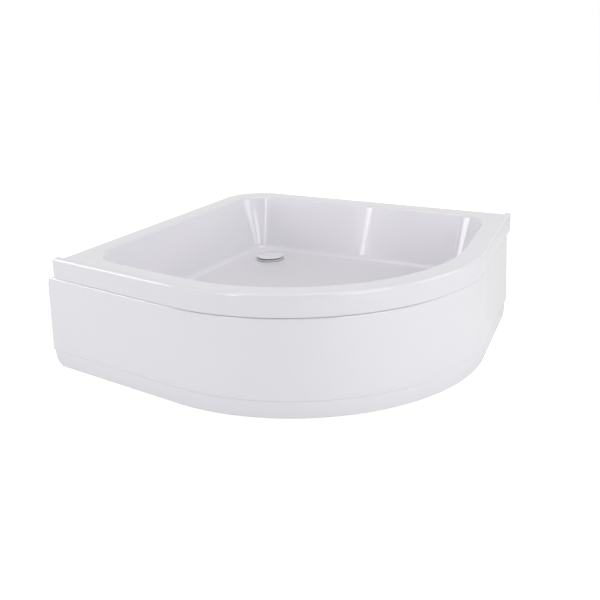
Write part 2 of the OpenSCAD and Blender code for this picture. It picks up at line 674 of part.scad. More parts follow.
// Catches on the uprights' faces
module at_catch() placed() for (angle = CATCH_ANGLES) at_arc(angle)
    translate([upright_r + upright_w / 2, 0, catch_z]) children();
module catch_housings() color("dimgray") at_catch() difference() {
    translate([0, -catch_w / 2, 0]) cube([catch_depth, catch_w, catch_h]);
    translate([catch_depth - magnet_t, -catch_w / 4, catch_h / 4])
        cube([magnet_t + small, catch_w / 2, catch_h / 2]);
}
module catch_magnets() color("silver") at_catch()
    translate([catch_depth - magnet_t, -catch_w / 4, catch_h / 4])
        cube([magnet_t, catch_w / 2, catch_h / 2]);

tray_shell();
base_board();
front_batten();
wall_batten_u();
wall_batten_v();
top_rail_back();
top_rail_middle();
leg_rail_back();
leg_rail_middle();
leg_rail_side();
leg_rail_diagonal();
upright_u();
upright_diagonal();
upright_v();
upright_plates();
plate_screws();
rail_end_caps();
weld_nuts();
lock_nuts();
foot_pad(0);  // foot_pad_1
foot_pad(1);  // foot_pad_2
foot_pad(2);  // foot_pad_3
foot_pad(3);  // foot_pad_4
foot_pad(4);  // foot_pad_5
foot_pad(5);  // foot_pad_6
foot_spindle(0);  // foot_spindle_1
foot_spindle(1);  // foot_spindle_2
foot_spindle(2);  // foot_spindle_3
foot_spindle(3);  // foot_spindle_4
foot_spindle(4);  // foot_spindle_5
foot_spindle(5);  // foot_spindle_6
wall_bracket_u();
wall_bracket_v();
bracket_screws();
waste_flange();
upper_seal();
lower_seal();
trap_body();
trap_insert();
insert_ring();
drain_cover();
outlet_nut();
outlet_seal();
waste_pipe();
apron_panel();
apron_ribs();
strike_plates();
catch_housings();
catch_magnets();
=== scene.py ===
import json
import math
from collections import Counter

import bmesh
import bpy
from mathutils import Matrix, Vector


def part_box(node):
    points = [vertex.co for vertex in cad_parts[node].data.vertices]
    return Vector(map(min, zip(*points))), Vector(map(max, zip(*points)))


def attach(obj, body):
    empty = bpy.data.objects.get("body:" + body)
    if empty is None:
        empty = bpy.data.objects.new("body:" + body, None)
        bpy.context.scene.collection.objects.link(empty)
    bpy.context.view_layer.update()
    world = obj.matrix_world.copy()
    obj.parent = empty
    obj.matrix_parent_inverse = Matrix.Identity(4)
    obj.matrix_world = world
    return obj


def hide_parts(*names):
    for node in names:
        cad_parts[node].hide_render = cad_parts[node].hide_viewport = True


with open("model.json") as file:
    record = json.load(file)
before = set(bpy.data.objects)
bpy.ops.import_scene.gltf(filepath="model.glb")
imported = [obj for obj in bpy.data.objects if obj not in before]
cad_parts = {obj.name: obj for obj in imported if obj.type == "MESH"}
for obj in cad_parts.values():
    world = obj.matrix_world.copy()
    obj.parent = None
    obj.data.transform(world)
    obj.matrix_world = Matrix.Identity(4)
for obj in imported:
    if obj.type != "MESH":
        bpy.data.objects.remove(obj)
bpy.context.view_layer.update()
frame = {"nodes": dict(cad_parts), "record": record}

# Driving sizes of the tray, the apron, the frame and the waste, in metres
SIDE = 0.900
FLARE = math.radians(9)
ARC_CENTRE = 0.460
FRONT_RIM = 0.052
WALL_RIM = 0.055
BACK_CORNER_R = 0.120
BASIN_BACK_R = 0.085
BASIN_FRONT_R = 0.110
RIM_Z = 0.305
BASIN_Z = 0.150
SHELL_T = 0.005
LIP_Z = 0.250
LIP_ROUND = 0.007
LIP_OVER = 0.028
EAR_CORNER_R = 0.008
DRAFT = math.radians(18)
FLOOR_FILLET = 0.020
RIDGE_ROUND = 0.007
WALL_FLANGE = 0.023
FLANGE_ROUND = 0.006
LIP_LEG = 0.014
APRON_TOP = 0.248
APRON_LOW = 0.002
APRON_INSET = 0.0045
APRON_T = 0.004
APRON_ROUND = 0.0055
APRON_FLANGE = 0.014
CREASE_Z = 0.045
CREASE_OUT = 0.0015
CREASE_ROUND = 0.0055
APRON_OVER_U = 0.060
APRON_OVER_V = -0.004
APRON_TOP_CORNER = 0.016
APRON_LOW_CORNER = 0.032
DRAIN_POS = 0.212
DRAIN_HOLE_R = 0.032
RAIL_W = 0.025
CAP_T = 0.0025
SPINDLE_R = 0.006
NUT_D = 0.022
PAD_H = 0.014
PIPE_R = 0.020
PIPE_Z = 0.056
SMALL_STEP = 0.0003
LIP_CHAMFER = 0.0005
LOW_CHAMFER = 0.001
FLANGE_LAP = 0.002
APRON_END_RUN = 0.08

# What follows from them
FRONT_R = (SIDE - ARC_CENTRE) * math.cos(FLARE) + ARC_CENTRE * math.sin(FLARE)
RETURN_LEN = ARC_CENTRE * (math.sin(FLARE) + math.cos(FLARE)) - SIDE * math.sin(FLARE)
ARC_SPAN = math.pi / 2 + 2 * FLARE
BACK_CENTRE = WALL_RIM + BASIN_BACK_R
CORNER_V = WALL_RIM + BASIN_FRONT_R
CORNER_U = (SIDE * math.cos(FLARE) - FRONT_RIM - BASIN_FRONT_R
            + CORNER_V * math.sin(FLARE)) / math.cos(FLARE)
ROUNDS = FLOOR_FILLET + RIDGE_ROUND
FLOOR_IN = (ROUNDS * math.cos(DRAFT)
            + (RIM_Z - BASIN_Z - ROUNDS * (1 - math.sin(DRAFT))) * math.tan(DRAFT))
WALL_CORNER_X = (ARC_CENTRE + FRONT_R + CREASE_OUT - LIP_OVER * math.cos(FLARE)) / 2
WALL_CORNER_Y = (ARC_CENTRE + FRONT_R + CREASE_OUT - APRON_OVER_U * math.cos(FLARE)
                 + APRON_INSET * math.sin(FLARE)) / 2


def place(u, v, z):
    """A point given by its distances from the two walls, in the row frame."""
    return Vector((WALL_CORNER_X - u, WALL_CORNER_Y - v, z))


def heading(direction):
    """A plan direction, counted away from the two walls, turned into the row frame."""
    return place(*direction, 0) - place(0, 0, 0)


def arc(x, z, radius, start, end, steps):
    """Points of a round in a section, as (outwards, height)."""
    turns = [start + (end - start) * i / steps for i in range(steps + 1)]
    return [(x + radius * math.cos(a), z + radius * math.sin(a)) for a in turns]


# Camera, from the straight edges, the lip and the floor line of the photograph
CAMERA_UV = (2.66707, 1.68401)
CAMERA_Z = 0.96468
CAMERA_HEADING = math.radians(27.927)
CAMERA_DOWN = math.radians(18.230)
CAMERA_ROLL = math.radians(-1.301)
FOCAL_PX = 961.27
FRAME_PX = 600
CENTRE_PX = (319.91, 296.09)
SENSOR = 36.0


def make_camera():
    data = bpy.data.cameras.new("photo_camera")
    camera = bpy.data.objects.new("photo_camera", data)
    bpy.context.scene.collection.objects.link(camera)
    data.sensor_fit = "HORIZONTAL"
    data.sensor_width = SENSOR
    data.lens = FOCAL_PX * SENSOR / FRAME_PX
    data.shift_x = (FRAME_PX / 2 - CENTRE_PX[0]) / FRAME_PX
    data.shift_y = (CENTRE_PX[1] - FRAME_PX / 2) / FRAME_PX
    data.clip_start = 0.05
    data.clip_end = 60
    forward = Vector((math.cos(CAMERA_HEADING) * math.cos(CAMERA_DOWN),
                      math.sin(CAMERA_HEADING) * math.cos(CAMERA_DOWN), -math.sin(CAMERA_DOWN)))
    right = forward.cross(Vector((0, 0, 1))).normalized()
    up = right.cross(forward)
    rolled_right = right * math.cos(CAMERA_ROLL) + up * math.sin(CAMERA_ROLL)
    rolled_up = up * math.cos(CAMERA_ROLL) - right * math.sin(CAMERA_ROLL)
    axes = Matrix((rolled_right, rolled_up, -forward)).transposed().to_4x4()
    camera.matrix_world = Matrix.Translation(place(*CAMERA_UV, CAMERA_Z)) @ axes
    bpy.context.scene.camera = camera


make_camera()


# Shader groups and small helpers
def group_socket(tree, name, way, kind, value=None):
    socket = tree.interface.new_socket(name=name, in_out=way, socket_type=kind)
    if value is not None:
        socket.default_value = value


def link(tree, source, target):
    tree.links.new(source, target)


def math_node(tree, operation, *values):
    """A Math node fed by sockets and plain numbers; gives its result."""
    node = tree.nodes.new("ShaderNodeMath")
    node.operation = operation
    for socket, value in zip(node.inputs, values):
        if isinstance(value, bpy.types.NodeSocket):
            link(tree, value, socket)
        else:
            socket.default_value = value
    return node.outputs[0]


def noise_node(tree, vector, scale, detail):
    node = tree.nodes.new("ShaderNodeTexNoise")
    node.inputs["Scale"].default_value = scale
    node.inputs["Detail"].default_value = detail
    link(tree, vector, node.inputs["Vector"])
    return node.outputs["Fac"]


def make_moulded_group():
    """Slow waves and fine orange peel of a moulded gloss surface, and the roughness that goes with them."""
    tree = bpy.data.node_groups.new("moulded_gloss", "ShaderNodeTree")
    group_socket(tree, "Vector", "INPUT", "NodeSocketVector")
    group_socket(tree, "Wave depth", "INPUT", "NodeSocketFloat", 0.3)
    group_socket(tree, "Peel depth", "INPUT", "NodeSocketFloat", 0.1)
    group_socket(tree, "Roughness", "INPUT", "NodeSocketFloat", 0.15)
    group_socket(tree, "Roughness spread", "INPUT", "NodeSocketFloat", 0.04)
    group_socket(tree, "Height", "OUTPUT", "NodeSocketFloat")
    group_socket(tree, "Roughness", "OUTPUT", "NodeSocketFloat")
    entry = tree.nodes.new("NodeGroupInput").outputs
    leave = tree.nodes.new("NodeGroupOutput").inputs
    waves = noise_node(tree, entry["Vector"], 5.0, 1.0)
    peel = noise_node(tree, entry["Vector"], 420.0, 2.0)
    smear = noise_node(tree, entry["Vector"], 14.0, 5.0)
    wave_part = math_node(tree, "MULTIPLY", waves, entry["Wave depth"])
    height = math_node(tree, "MULTIPLY_ADD", peel, entry["Peel depth"], wave_part)
    link(tree, height, leave["Height"])
    centred = math_node(tree, "SUBTRACT", smear, 0.5)
    rough = math_node(tree, "MULTIPLY_ADD", centred, entry["Roughness spread"], entry["Roughness"])
    link(tree, rough, leave["Roughness"])
    return tree


def make_speckle_group():
    """Two colours mixed by a cell and a noise pattern, for grain, chips, spangle and dust."""
    tree = bpy.data.node_groups.new("speckle", "ShaderNodeTree")
    group_socket(tree, "Vector", "INPUT", "NodeSocketVector")
    group_socket(tree, "Scale", "INPUT", "NodeSocketFloat", 60.0)
    group_socket(tree, "Dark", "INPUT", "NodeSocketColor", (0.2, 0.2, 0.2, 1))
    group_socket(tree, "Light", "INPUT", "NodeSocketColor", (0.6, 0.6, 0.6, 1))
    group_socket(tree, "Color", "OUTPUT", "NodeSocketColor")
    group_socket(tree, "Height", "OUTPUT", "NodeSocketFloat")
    entry = tree.nodes.new("NodeGroupInput").outputs
    leave = tree.nodes.new("NodeGroupOutput").inputs
    cells = tree.nodes.new("ShaderNodeTexVoronoi")
    noise = tree.nodes.new("ShaderNodeTexNoise")
    noise.inputs["Detail"].default_value = 6.0
    for texture in (cells, noise):
        link(tree, entry["Vector"], texture.inputs["Vector"])
        link(tree, entry["Scale"], texture.inputs["Scale"])
    grey = tree.nodes.new("ShaderNodeRGBToBW")
    link(tree, cells.outputs["Color"], grey.inputs[0])
    blend = math_node(tree, "MULTIPLY", grey.outputs[0], noise.outputs["Fac"])
    level = tree.nodes.new("ShaderNodeMapRange")
    level.inputs["From Min"].default_value = 0.05
    level.inputs["From Max"].default_value = 0.5
    link(tree, blend, level.inputs["Value"])
    mix = tree.nodes.new("ShaderNodeMix")
    mix.data_type = "RGBA"
    link(tree, level.outputs["Result"], mix.inputs["Factor"])
    link(tree, entry["Dark"], mix.inputs["A"])
    link(tree, entry["Light"], mix.inputs["B"])
    link(tree, mix.outputs["Result"], leave["Color"])
    link(tree, level.outputs["Result"], leave["Height"])
    return tree


moulded_group = make_moulded_group()
speckle_group = make_speckle_group()


def new_material(name, **sockets):
    """A Principled material whose constant values are set on the shader itself."""
    material = bpy.data.materials.new(name)
    material.use_nodes = True
    shader = material.node_tree.nodes["Principled BSDF"]
    for socket, value in sockets.items():
        shader.inputs[socket.replace("_", " ")].default_value = value
    coords = material.node_tree.nodes.new("ShaderNodeTexCoord")
    return material, material.node_tree, shader, coords.outputs["Object"]


def add_group(tree, group, vector, **values):
    node = tree.nodes.new("ShaderNodeGroup")
    node.node_tree = group
    link(tree, vector, node.inputs["Vector"])
    for socket, value in values.items():
        node.inputs[socket.replace("_", " ")].default_value = value
    return node


def add_bump(tree, shader, height, strength, distance):
    bump = tree.nodes.new("ShaderNodeBump")
    bump.inputs["Strength"].default_value = strength
    bump.inputs["Distance"].default_value = distance
    link(tree, height, bump.inputs["Height"])
    link(tree, bump.outputs["Normal"], shader.inputs["Normal"])


def make_acrylic(name, base, roughness=0.12, wave=0.2):
    """Moulded plastic under a clear gloss."""
    material, tree, shader, coords = new_material(name, Base_Color=base, Coat_Weight=0.4,
                                                  Coat_Roughness=0.03)
    moulded = add_group(tree, moulded_group, coords, Wave_depth=wave, Peel_depth=0.02,
                        Roughness=roughness, Roughness_spread=0.05)
    link(tree, moulded.outputs["Roughness"], shader.inputs["Roughness"])
    add_bump(tree, shader, moulded.outputs["Height"], 0.25, 0.002)
    return material


def make_basin_floor(name, base):
    """Acrylic with the fine mottle of an anti-slip floor."""
    material, tree, shader, coords = new_material(name, Base_Color=base, Coat_Weight=0.2,
                                                  Coat_Roughness=0.12)
    mottle = tree.nodes.new("ShaderNodeTexVoronoi")
    mottle.feature = "SMOOTH_F1"
    mottle.inputs["Scale"].default_value = 210.0
    link(tree, coords, mottle.inputs["Vector"])
    moulded = add_group(tree, moulded_group, coords, Wave_depth=0.2, Peel_depth=0.02, Roughness=0.24,
                        Roughness_spread=0.08)
    link(tree, moulded.outputs["Roughness"], shader.inputs["Roughness"])
    add_bump(tree, shader, mottle.outputs["Distance"], 0.3, 0.0016)
    return material


def make_speckled(name, dark, light, scale, roughness, depth, **sockets):
    """A surface of two mottled colours, whose bump follows the same pattern."""
    material, tree, shader, coords = new_material(name, Roughness=roughness, **sockets)
    speckle = add_group(tree, speckle_group, coords, Scale=scale, Dark=dark, Light=light)
    link(tree, speckle.outputs["Color"], shader.inputs["Base Color"])
    add_bump(tree, shader, speckle.outputs["Height"], 0.4, depth)
    return material


def make_wood(name, dark, light):
    """Sawn softwood: long grain bands with fine pores."""
    material, tree, shader, coords = new_material(name, Roughness=0.7)
    stretch = tree.nodes.new("ShaderNodeMapping")
    stretch.inputs["Scale"].default_value = (9.0, 9.0, 130.0)
    link(tree, coords, stretch.inputs["Vector"])
    speckle = add_group(tree, speckle_group, stretch.outputs["Vector"], Scale=1.6, Dark=dark, Light=light)
    link(tree, speckle.outputs["Color"], shader.inputs["Base Color"])
    add_bump(tree, shader, speckle.outputs["Height"], 0.5, 0.0008)
    return material


ACRYLIC = make_acrylic("white_acrylic", (0.812, 0.8, 0.842, 1))
APRON_ACRYLIC = make_acrylic("apron_acrylic", (0.828, 0.816, 0.852, 1), 0.16, 0.3)
BASIN_FLOOR = make_basin_floor("anti_slip_floor", (0.805, 0.79, 0.83, 1))
APRON_BACK = make_acrylic("apron_back", (0.74, 0.74, 0.73, 1), 0.5, 0.1)
COVER_WHITE = make_acrylic("cover_white", (0.85, 0.85, 0.855, 1), 0.12, 0.05)
GLASS_FIBRE = make_speckled("glass_fibre_backing", (0.56, 0.55, 0.49, 1), (0.72, 0.71, 0.65, 1),
                            170.0, 0.55, 0.0015)
GALVANISED = make_speckled("galvanised_steel", (0.42, 0.44, 0.45, 1), (0.62, 0.64, 0.65, 1),
                           90.0, 0.36, 0.0002, Metallic=0.9)
ZINC = make_speckled("zinc_plate", (0.6, 0.61, 0.62, 1), (0.78, 0.79, 0.8, 1),
                     260.0, 0.28, 0.0001, Metallic=1.0)
WELD_METAL = make_speckled("weld_metal", (0.22, 0.22, 0.23, 1), (0.5, 0.5, 0.5, 1),
                           300.0, 0.42, 0.0003, Metallic=0.9)
CHIPBOARD = make_speckled("chipboard", (0.36, 0.24, 0.13, 1), (0.68, 0.52, 0.34, 1),
                          230.0, 0.75, 0.0012)
SOFTWOOD = make_wood("softwood", (0.45, 0.28, 0.14, 1), (0.7, 0.52, 0.32, 1))
BLACK_NYLON = make_speckled("black_nylon", (0.02, 0.02, 0.022, 1), (0.05, 0.05, 0.055, 1),
                            700.0, 0.5, 0.0003)
SEAL_RUBBER = make_speckled("seal_rubber", (0.015, 0.015, 0.015, 1), (0.04, 0.04, 0.04, 1),
                            500.0, 0.7, 0.0002)
WASTE_PLASTIC = make_acrylic("waste_plastic", (0.72, 0.72, 0.7, 1), 0.35, 0.1)
RIB_PLASTIC = make_speckled("bonded_strip", (0.62, 0.62, 0.6, 1), (0.74, 0.74, 0.72, 1),
                            160.0, 0.6, 0.0005)
FERRITE = make_speckled("ferrite", (0.05, 0.05, 0.055, 1), (0.12, 0.12, 0.125, 1),
                        600.0, 0.45, 0.0002, Metallic=0.4)

SLOT_LOOKS = {
    "white_acrylic": ACRYLIC,
    "white_cover": COVER_WHITE,
    "waste_plastic": WASTE_PLASTIC,
    "rib_plastic": RIB_PLASTIC,
    "black_plastic": BLACK_NYLON,
    "seal_rubber": SEAL_RUBBER,
    "galvanised_steel": GALVANISED,
    "zinc_steel": ZINC,
    "magnet": FERRITE,
    "board": SOFTWOOD,
}


def finish_frame_nodes():
    """Every node of the frame gets the material of its slot, but the base board is chipboard."""
    for part in frame["record"]["subparts"]:
        materials = frame["nodes"][part["node"]].data.materials
        materials.clear()
        materials.append(CHIPBOARD if part["node"] == "base_board" else SLOT_LOOKS[part["material_slot"]])


finish_frame_nodes()


# Tray and apron
CORNER_STEPS = 24
BASIN_ARC_STEPS = 72
FRONT_ARC_STEPS = 84
WELD_DISTANCE = 1e-5
SAME_HEIGHT = 1e-6
SHARP_ANGLE = math.radians(35)


class Sweep:
    """Carries a section of edges along a plan path of straight runs and turns."""

    def __init__(self, bm, section, origin, outwards):
        """section holds (outwards, height) points, and origin is the plan point where outwards is zero."""
        self.bm = bm
        self.verts = [bm.verts.new(place(origin[0] + outwards[0] * x, origin[1] + outwards[1] * x, z))
                      for x, z in section]
        self.edges = [bm.edges.new(pair) for pair in zip(self.verts, self.verts[1:])]

    def take(self, made):
        """Goes on from the copy of the section that an operator has made."""
        self.verts = [item for item in made if isinstance(item, bmesh.types.BMVert)]
        kept = set(self.verts)
        self.edges = [item for item in made
                      if isinstance(item, bmesh.types.BMEdge) and kept.issuperset(item.verts)]

    def run(self, direction, length, parts=1):
        step = heading(direction) * (length / parts)
        for _ in range(parts):
            self.take(bmesh.ops.extrude_edge_only(self.bm, edges=self.edges)["geom"])
            bmesh.ops.translate(self.bm, verts=self.verts, vec=step)

    def turn(self, centre, angle, steps):
        made = bmesh.ops.spin(self.bm, geom=self.edges, cent=place(*centre, 0), axis=(0, 0, 1),
                              angle=angle, steps=steps, use_duplicate=False)
        self.take(made["geom_last"])


def unit(angle):
    return (math.cos(angle), math.sin(angle))


U_OUT = unit(-FLARE)
U_ALONG = unit(math.pi / 2 - FLARE)
V_ALONG = unit(math.pi + FLARE)
CENTRE = (ARC_CENTRE, ARC_CENTRE)
BASIN_RETURN = (ARC_CENTRE * (math.sin(FLARE) + math.cos(FLARE))
                - CORNER_U * math.sin(FLARE) - CORNER_V * math.cos(FLARE))


def basin_section():
    """From the rim to the floor, as (outwards from the basin's edge, height)."""
    over = arc(0, RIM_Z - RIDGE_ROUND, RIDGE_ROUND, math.pi / 2, DRAFT, 8)
    fillet = arc(FLOOR_IN, BASIN_Z + FLOOR_FILLET, FLOOR_FILLET, math.pi + DRAFT, 1.5 * math.pi, 18)
    return [(-x, z) for x, z in over + fillet]


def sweep_basin(bm):
    """The basin's walls, all the way round."""
    wall = CORNER_U - BACK_CENTRE
    corner = math.pi / 2 - FLARE
    sweep = Sweep(bm, basin_section(), (BACK_CENTRE, WALL_RIM), (0, -1))
    sweep.run((1, 0), wall, 6)
    sweep.turn((CORNER_U, CORNER_V), corner, CORNER_STEPS)
    sweep.run(U_ALONG, BASIN_RETURN, 4)
    sweep.turn(CENTRE, ARC_SPAN, BASIN_ARC_STEPS)
    sweep.run(V_ALONG, BASIN_RETURN, 4)
    sweep.turn((CORNER_V, CORNER_U), corner, CORNER_STEPS)
    sweep.run((0, -1), wall, 6)
    sweep.turn((BACK_CENTRE, BACK_CENTRE), math.pi / 2, CORNER_STEPS)


def corner_cut(high, high_r, low, low_r):
    """How far a rounded end draws back at each height."""
    def cut(z):
        past = max(z - (high - high_r), (low + low_r) - z, 0.0)
        radius = high_r if z > high - high_r else low_r
        return radius - math.sqrt(max(radius * radius - past * past, 0.0))
    return cut


def draw_back(verts, along, cut):
    for vert in verts:
        vert.co += heading(along) * cut(vert.co.z)


def sweep_front(bm, section, over_u, over_v, end_run, cut):
    """A section carried along the whole front. It goes past the walls by over_u and over_v, its first and
    last pieces reach end_run into the returns, and cut rounds the corners of its two ends."""
    start = [ARC_CENTRE + FRONT_R * out - (RETURN_LEN + over_u) * along
             for out, along in zip(U_OUT, U_ALONG)]
    sweep = Sweep(bm, section, start, U_OUT)
    start_verts = list(sweep.verts)
    sweep.run(U_ALONG, over_u + end_run)
    sweep.run(U_ALONG, RETURN_LEN - end_run, 5)
    sweep.turn(CENTRE, ARC_SPAN, FRONT_ARC_STEPS)
    sweep.run(V_ALONG, RETURN_LEN - end_run, 5)
    sweep.run(V_ALONG, over_v + end_run)
    draw_back(start_verts, U_ALONG, cut)
    draw_back(sweep.verts, (-V_ALONG[0], -V_ALONG[1]), cut)


def lip_section():
    """From the rim's top over the lip and down its face, as (outwards from the face, height)."""
    face = [RIM_Z - LIP_ROUND - (RIM_Z - LIP_ROUND - LIP_Z - LOW_CHAMFER) * i / 6 for i in range(1, 7)]
    return ([(-LIP_LEG, RIM_Z)] + arc(-LIP_ROUND, RIM_Z - LIP_ROUND, LIP_ROUND, math.pi / 2, 0, 8)
            + [(0, z) for z in face] + [(-LIP_CHAMFER, LIP_Z)])


def sweep_flange(bm):
    """The turned-down edge along the walls, which ends just inside the lip's inner line."""
    section = [(-FLANGE_ROUND - FLANGE_LAP, RIM_Z)]
    section += arc(-FLANGE_ROUND, RIM_Z - FLANGE_ROUND, FLANGE_ROUND, math.pi / 2, 0, 6)
    section += [(0, RIM_Z - WALL_FLANGE)]
    end = SIDE - LIP_LEG / math.cos(FLARE) + FLANGE_ROUND * math.tan(FLARE) - SMALL_STEP
    length = end - BACK_CORNER_R
    sweep = Sweep(bm, section, (0, end), (-1, 0))
    sweep.run((0, -1), length, 6)
    sweep.turn((BACK_CORNER_R, BACK_CORNER_R), math.pi / 2, CORNER_STEPS)
    sweep.run((1, 0), length, 6)


def weld(bm):
    bmesh.ops.remove_doubles(bm, verts=bm.verts, dist=WELD_DISTANCE)


def open_line(edges, z):
    """The open edges that lie at one height."""
    return [e for e in edges
            if len(e.link_faces) == 1 and all(abs(v.co.z - z) < SAME_HEIGHT for v in e.verts)]


def flat_fill(bm, edges, slot=0):
    """Fills the flat ground between closed lines of edges."""
    for face in bmesh.ops.triangle_fill(bm, use_beauty=True, use_dissolve=False, edges=edges)["geom"]:
        if isinstance(face, bmesh.types.BMFace):
            face.material_index = slot


def line_ends(edges):
    """The vertices where a line of edges stops."""
    uses = {}
    for edge in edges:
        for vert in edge.verts:
            uses[vert] = uses.get(vert, 0) + 1
    return [vert for vert, count in uses.items() if count == 1]


def inside_walls(edge):
    return all(WALL_CORNER_X - v.co.x > 0 and WALL_CORNER_Y - v.co.y > 0 for v in edge.verts)


def face_up(bm, test):
    """Turns the skin so that the largest face that passes the test looks up."""
    bmesh.ops.recalc_face_normals(bm, faces=bm.faces)
    bm.normal_update()
    if max((f for f in bm.faces if test(f)), key=lambda f: f.calc_area()).normal.z < 0:
        bmesh.ops.reverse_faces(bm, faces=bm.faces)


def new_piece(name, bm, materials):
    mesh = bpy.data.meshes.new(name)
    bm.to_mesh(mesh)
    bm.free()
    for material in materials:
        mesh.materials.append(material)
    piece = bpy.data.objects.new(name, mesh)
    bpy.context.scene.collection.objects.link(piece)
    return piece


def finish_piece(piece, body, slot, *nodes):
    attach(piece, body)
    if nodes:
        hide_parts(*nodes)


def smooth(piece):
    """Smooth shading, with sharp edges kept, and the open ones made sharp for the wall that they get."""
    mesh = piece.data
    mesh.polygons.foreach_set("use_smooth", [True] * len(mesh.polygons))
    mesh.set_sharp_from_angle(angle=SHARP_ANGLE)
    uses = Counter(loop.edge_index for loop in mesh.loops)
    for edge in mesh.edges:
        if uses[edge.index] == 1:
            edge.use_edge_sharp = True


def add_piece(name, bm, look, body, slot, *nodes):
    """A smooth piece of one material, on its body; its slot is not used."""
    piece = new_piece(name, bm, [look])
    smooth(piece)
    finish_piece(piece, body, slot, *nodes)


def thicken(piece, thickness, inner_slot):
    """Gives a skin its wall on the inner side."""
    wall = piece.modifiers.new("wall", "SOLIDIFY")
    wall.thickness = thickness
    wall.offset = -1
    wall.use_even_offset = True
    wall.material_offset = inner_slot


def make_tray():
    """Basin, rim, lip with its ears, and the edge along the walls, as one skin with a wall."""
    bm = bmesh.new()
    sweep_basin(bm)
    weld(bm)
    drain = bmesh.ops.create_circle(bm, cap_ends=False, radius=DRAIN_HOLE_R, segments=64,
                                    matrix=Matrix.Translation(place(DRAIN_POS, DRAIN_POS, BASIN_Z)))
    drain_edge = list({e for v in drain["verts"] for e in v.link_edges})
    flat_fill(bm, open_line(bm.edges, BASIN_Z) + drain_edge, 1)
    basin_edge = open_line(bm.edges, RIM_Z)
    known = set(bm.edges)
    sweep_front(bm, lip_section(), LIP_OVER, LIP_OVER, 0, corner_cut(RIM_Z, EAR_CORNER_R, 0, SMALL_STEP))
    lip_line = [e for e in open_line(set(bm.edges) - known, RIM_Z) if inside_walls(e)]
    known = set(bm.edges)
    sweep_flange(bm)
    flange_line = open_line(set(bm.edges) - known, RIM_Z)
    joins = [bm.edges.new((vert, min(line_ends(lip_line), key=lambda end: (end.co - vert.co).length)))
             for vert in line_ends(flange_line)]
    flat_fill(bm, basin_edge + lip_line + flange_line + joins)
    face_up(bm, lambda face: face.material_index == 1)
    tray = new_piece("tray", bm, [ACRYLIC, BASIN_FLOOR, GLASS_FIBRE, GLASS_FIBRE])
    thicken(tray, SHELL_T, 2)
    smooth(tray)
    finish_piece(tray, "frame_and_tray", "white_acrylic", "tray_shell")


def apron_section():
    """From the top flange over the face and the crease, and under to the bottom flange."""
    back = -APRON_INSET - APRON_FLANGE
    toe = CREASE_OUT - CREASE_ROUND
    top = arc(-APRON_INSET - APRON_ROUND, APRON_TOP - APRON_ROUND, APRON_ROUND, math.pi / 2, 0, 8)
    crease = arc(toe, CREASE_Z + CREASE_ROUND, CREASE_ROUND, 0, -math.pi / 2, 8)
    face = [tuple(high + (low - high) * i / 16 for high, low in zip(top[-1], crease[0]))
            for i in range(1, 16)]
    return ([(back, APRON_TOP)] + top + face + crease
            + [(toe, CREASE_Z - (CREASE_Z - APRON_LOW - LOW_CHAMFER) * i / 6) for i in range(1, 7)]
            + [(toe - LOW_CHAMFER, APRON_LOW), (back, APRON_LOW)])


def make_apron():
    """The curved front panel with its crease and its two flanges, as one skin with a wall."""
    bm = bmesh.new()
    sweep_front(bm, apron_section(), APRON_OVER_U, APRON_OVER_V, APRON_END_RUN,
                corner_cut(APRON_TOP, APRON_TOP_CORNER, APRON_LOW, APRON_LOW_CORNER))
    weld(bm)
    face_up(bm, lambda face: abs(face.calc_center_median().z - APRON_TOP) < SAME_HEIGHT)
    apron = new_piece("apron", bm, [APRON_ACRYLIC, APRON_BACK])
    thicken(apron, APRON_T, 1)
    smooth(apron)
    finish_piece(apron, "apron", "white_acrylic", "apron_panel")


make_tray()
make_apron()


# Frame, feet and waste
FRAME_BODY = "frame_and_tray"
RAILS = ("top_rail_back", "top_rail_middle", "leg_rail_back", "leg_rail_middle", "leg_rail_side")
DIAGONAL = math.radians(45)
TUBE_ROUND = 0.0022
CAP_ROUND = 0.0009
RAIL_BEAD = (0.003, 0.0018)
POST_BEAD = (0.002, 0.0016)
BEAD_SPACING = 0.9
BEAD_RIPPLE = 0.15
PARALLEL = 0.99
LEGS = 6
PITCH = 0.00175
THREAD_DEPTH = 0.0007
THREAD_STEPS = 16
NUT_PLAY = 0.00006
HEAD_H = 0.008
HEAD_EDGE = 0.001
BORE_CHAMFER = 0.0006


def block(bm, low, high, edge, turn=0.0, axis=None):
    """A block between two corners, turned about its own middle, with all its edges rounded, or only those
    along one axis."""
    size = high - low
    matrix = Matrix.Translation((low + high) / 2) @ Matrix.Rotation(turn, 4, "Z")
    made = bmesh.ops.create_cube(bm, size=1, matrix=matrix @ Matrix.Diagonal((*size, 1)))
    edges = {e for v in made["verts"] for e in v.link_edges}
    if axis is not None:
        along = matrix.to_3x3().col[axis]
        edges = {e for e in edges
                 if abs((e.verts[0].co - e.verts[1].co).normalized().dot(along)) > PARALLEL}
    bmesh.ops.bevel(bm, geom=list(edges), offset=edge, offset_type="OFFSET", segments=3, profile=0.5,
                    affect="EDGES", material=-1)


def turned(bm, profile, middle, steps, closed=True):
    """A profile of (radius, height) points turned about the upright line through middle; gives its verts."""
    known = set(bm.verts)
    line = [bm.verts.new((middle.x + radius, middle.y, middle.z + height)) for radius, height in profile]
    pairs = list(zip(line, line[1:]))
    if closed:
        pairs.append((line[-1], line[0]))
    edges = [bm.edges.new(pair) for pair in pairs]
    bmesh.ops.spin(bm, geom=line + edges, cent=middle, axis=(0, 0, 1), angle=2 * math.pi,
                   steps=steps, use_merge=True)
    return set(bm.verts) - known


